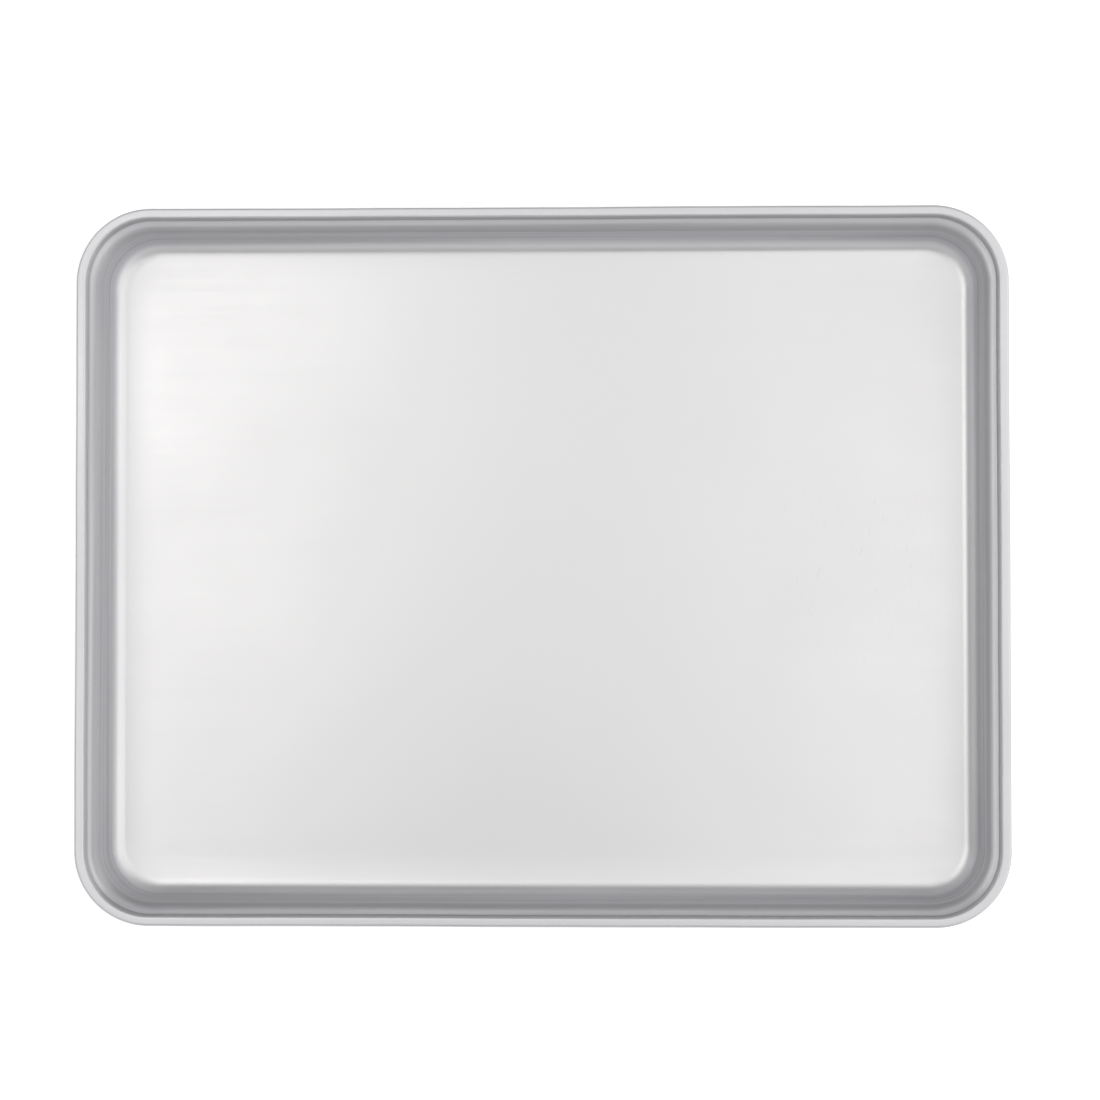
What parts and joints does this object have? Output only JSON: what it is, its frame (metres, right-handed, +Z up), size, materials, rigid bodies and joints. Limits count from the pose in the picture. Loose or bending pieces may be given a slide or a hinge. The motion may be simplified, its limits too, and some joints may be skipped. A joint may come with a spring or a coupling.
{
  "type": "baking pan",
  "caption": "Shallow rectangular pressed aluminium baking pan with round corners, steep walls, a sloping shoulder below the rim and a rim curled around a wire, for baking and roasting in an oven.",
  "frame": {"origin": "on the table under the middle of the pan, in the plane of its flat underside", "axes": "+X along the pan's length, +Y along its width towards the back, where the wire's ends meet, +Z up out of its open top"},
  "size_m": [0.47, 0.362, 0.038],
  "materials": {
    "satin_aluminium": "satin anodised",
    "galvanised_wire": "galvanised, dull"
  },
  "bodies": {
    "root": {"pan_shell": "satin_aluminium", "rim_wire": "galvanised_wire"}
  },
  "joints": []
}
